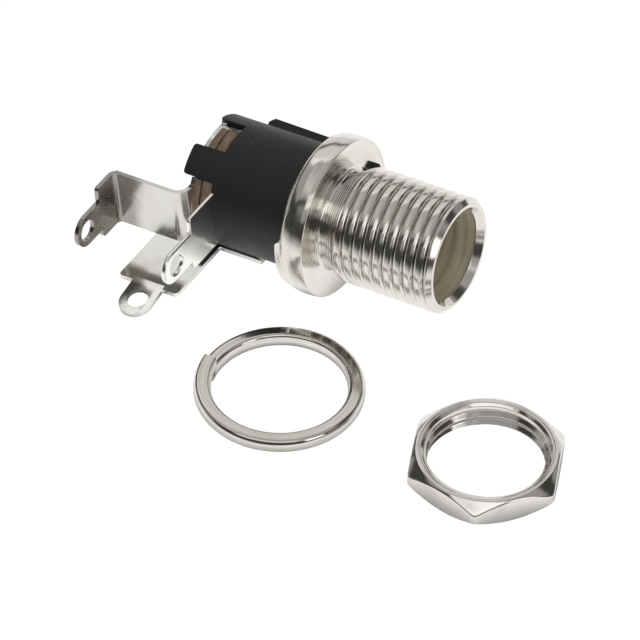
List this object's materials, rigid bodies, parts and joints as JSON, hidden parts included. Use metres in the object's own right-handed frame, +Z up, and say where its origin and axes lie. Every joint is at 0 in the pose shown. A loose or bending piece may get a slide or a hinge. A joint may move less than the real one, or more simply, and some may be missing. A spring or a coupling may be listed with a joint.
{
  "type": "panel-mount dc power jack",
  "caption": "Panel-mount power jack with a threaded nickel bushing, flange, black rear housing and solder lugs, shown with its lock washer and hexagon nut taken off.",
  "frame": {"origin": "bottom centre of the box around the jack, its loose washer and its loose nut, on the table they lie on", "axes": "+X runs along the barrel towards its mouth, which is tilted up a few degrees from it; -Y is the side the solder lugs point to; +Z is up from the table"},
  "size_m": [0.0556, 0.0336, 0.0165],
  "materials": {
    "nickel_plate": "bright nickel plating over turned brass",
    "black_plastic": "matte moulded plastic with a fine grain",
    "nickel_pin": "bright plated turned pin with a riveted end",
    "tinned_sheet": "bright plated stamped sheet",
    "fibre_board": "brown laminated board with raw stamped edges",
    "spring_metal": "plated spring strip",
    "plated_washer": "bright plated square wire",
    "plated_nut": "bright nickel plating with fine turning marks on the bevels"
  },
  "bodies": {
    "jack": {"bushing": "nickel_plate", "housing": "black_plastic", "centre_pin": "nickel_pin", "pin_terminal": "tinned_sheet", "rear_wafer": "fibre_board", "front_wafer": "fibre_board", "sleeve_terminal": "tinned_sheet", "switch_terminal": "tinned_sheet", "lock_washer": "plated_washer", "panel_nut": "plated_nut"},
    "contact_spring": {"sleeve_spring": "spring_metal"}
  },
  "joints": [
    {"name": "contact_spring_flex", "type": "hinge", "parent": "jack", "child": "contact_spring", "pos_m": [-0.01589, 0.00863, 0.00292], "axis": [0, 1, 0], "range_deg": [0, 3], "stiffness_Nm_per_rad": 0.02}
  ]
}
